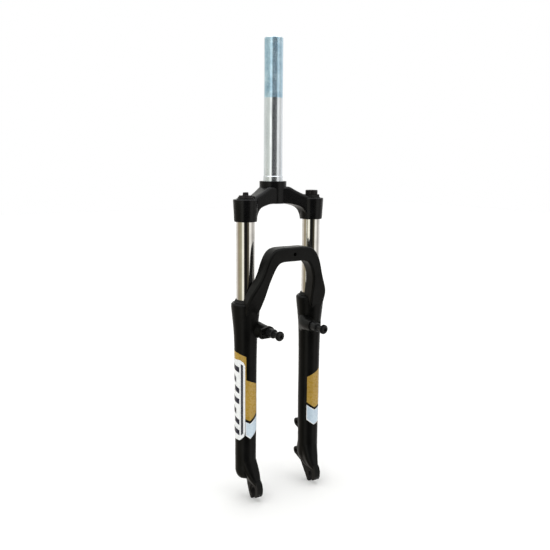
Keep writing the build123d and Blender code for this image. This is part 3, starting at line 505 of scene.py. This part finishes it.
def pale_floor():
    """A plain pale floor just under the part, which the shiny surfaces don't mirror."""
    look, _, shader = new_material("stage_floor")
    shader.inputs["Roughness"].default_value = FLOOR_ROUGHNESS
    shader.inputs["Base Color"].default_value = (FLOOR_GREY, FLOOR_GREY, FLOOR_GREY, 1.0)
    bpy.ops.mesh.primitive_plane_add(size=1.0, location=(0, 0, cad_low.z - FLOOR_DROP))
    floor = bpy.context.object
    floor.name = "floor"
    floor.scale = (FLOOR_SIZE, FLOOR_SIZE, 1.0)
    floor.data.materials.append(look)
    floor.visible_glossy = False


pale_floor()

# The studio's walls: azimuths in degrees round from the viewpoint, growing to the right, and colours.
STUDIO_BANDS = (
    (-180.0, (0.80, 0.78, 0.74)),
    (-112.0, (0.62, 0.58, 0.52)),
    (-100.0, (0.34, 0.28, 0.21)),
    (-74.0, (0.33, 0.30, 0.20)),
    (-46.0, (0.40, 0.38, 0.27)),
    (-40.0, (1.00, 0.98, 0.86)),
    (-20.0, (1.00, 0.98, 0.86)),
    (-14.0, (0.015, 0.015, 0.013)),
    (20.0, (0.010, 0.010, 0.010)),
    (26.0, (0.06, 0.055, 0.035)),
    (44.0, (0.08, 0.07, 0.05)),
    (50.0, (0.95, 0.93, 0.86)),
    (76.0, (0.90, 0.88, 0.84)),
    (84.0, (0.45, 0.43, 0.40)),
    (114.0, (0.50, 0.48, 0.46)),
    (122.0, (0.88, 0.88, 0.88)),
    (180.0, (0.80, 0.78, 0.74)),
)
# Above the horizon the left-hand walls are paler and more neutral.
UPPER_BANDS = (
    (-180.0, (0.80, 0.80, 0.77)),
    (-112.0, (0.66, 0.67, 0.62)),
    (-74.0, (0.60, 0.62, 0.56)),
    (-46.0, (0.66, 0.67, 0.61)),
    (-40.0, (1.20, 1.20, 1.12)),
    (-20.0, (1.20, 1.20, 1.12)),
    (-14.0, (0.015, 0.015, 0.015)),
    (20.0, (0.010, 0.010, 0.012)),
    (26.0, (0.06, 0.06, 0.06)),
    (44.0, (0.08, 0.08, 0.08)),
    (50.0, (0.95, 0.94, 0.90)),
    (76.0, (0.92, 0.91, 0.88)),
    (84.0, (0.60, 0.59, 0.57)),
    (114.0, (0.62, 0.61, 0.59)),
    (122.0, (0.88, 0.88, 0.88)),
    (180.0, (0.80, 0.80, 0.77)),
)
# Heights of a direction, as the sine of its elevation, between which one part gives way to the next.
HORIZON = (-0.055, -0.03)
DOME_EDGE = (0.55, 0.85)
DOME_BRIGHTNESS = 1.8
FULL_TURN = 2 * math.pi

world = bpy.data.worlds.new("studio")
bpy.context.scene.world = world
world.use_nodes = True
sky = world.node_tree
sky.nodes.clear()
sky_out = sky.nodes.new("ShaderNodeOutputWorld")
direction = sky.nodes.new("ShaderNodeSeparateXYZ")
sky.links.new(sky.nodes.new("ShaderNodeTexCoord").outputs["Generated"], direction.inputs["Vector"])


def sky_math(operation, *values):
    """One math node in the studio's environment, fed with sockets or numbers."""
    node = sky.nodes.new("ShaderNodeMath")
    node.operation = operation
    for socket, value in zip(node.inputs, values):
        if isinstance(value, bpy.types.NodeSocket):
            sky.links.new(value, socket)
        else:
            socket.default_value = value
    return node.outputs["Value"]


ahead = sky_math("MULTIPLY", direction.outputs["Y"], -1.0)
around = sky_math("ARCTAN2", direction.outputs["X"], ahead)
turned = sky_math("SUBTRACT", around, VIEW_AZIMUTH)
wrapped = sky_math("WRAP", turned, math.pi, -math.pi)
share = sky_math("ADD", sky_math("DIVIDE", wrapped, FULL_TURN), 0.5)


def sky_bands(stops):
    """Colour round the studio, from (azimuth, colour) stops."""
    ramp = sky.nodes.new("ShaderNodeValToRGB")
    while len(ramp.color_ramp.elements) < len(stops):
        ramp.color_ramp.elements.new(0.5)
    for stop, (angle, colour) in zip(ramp.color_ramp.elements, stops):
        stop.position = math.radians(angle) / FULL_TURN + 0.5
        stop.color = (*colour, 1.0)
    sky.links.new(share, ramp.inputs["Fac"])
    return ramp.outputs["Color"]


def above(start, end):
    """How far a direction is over a height, easing from start to end."""
    node = sky.nodes.new("ShaderNodeMapRange")
    node.interpolation_type = "SMOOTHSTEP"
    node.inputs["From Min"].default_value = start
    node.inputs["From Max"].default_value = end
    sky.links.new(direction.outputs["Z"], node.inputs["Value"])
    return node.outputs["Result"]


walls = blend_colours(sky, above(*HORIZON), sky_bands(STUDIO_BANDS), sky_bands(UPPER_BANDS))
domed = blend_colours(sky, above(*DOME_EDGE), walls, (DOME_BRIGHTNESS,) * 3)
lit = sky.nodes.new("ShaderNodeBackground")
sky.links.new(domed, lit.inputs["Color"])
# The camera sees plain white, and everything else is lit by and mirrors the studio.
seen = sky.nodes.new("ShaderNodeBackground")
seen.inputs["Color"].default_value = (1.0, 1.0, 1.0, 1.0)
pick = sky.nodes.new("ShaderNodeMixShader")
sky.links.new(sky.nodes.new("ShaderNodeLightPath").outputs["Is Camera Ray"], pick.inputs["Fac"])
sky.links.new(lit.outputs["Background"], pick.inputs[1])
sky.links.new(seen.outputs["Background"], pick.inputs[2])
sky.links.new(pick.outputs["Shader"], sky_out.inputs["Surface"])
bpy.context.scene.view_settings.view_transform = "Standard"

back = Vector(
    (
        math.sin(VIEW_AZIMUTH) * math.cos(VIEW_ELEVATION),
        -math.cos(VIEW_AZIMUTH) * math.cos(VIEW_ELEVATION),
        math.sin(VIEW_ELEVATION),
    )
)
right = Vector((math.cos(VIEW_AZIMUTH), math.sin(VIEW_AZIMUTH), 0.0))
aim = Vector((0.0, 0.0, AIM_HEIGHT)) + right * AIM_SIDEWAYS

camera_data = bpy.data.cameras.new("camera")
camera_data.lens = VIEW_LENS
camera_data.sensor_width = VIEW_SENSOR
camera = bpy.data.objects.new("camera", camera_data)
bpy.context.scene.collection.objects.link(camera)
camera.location = aim + back * VIEW_DISTANCE
camera.rotation_mode = "QUATERNION"
facing = (-back).to_track_quat("-Z", "Y")
camera.rotation_quaternion = facing @ Quaternion((0.0, 0.0, 1.0), VIEW_ROLL)
bpy.context.scene.camera = camera
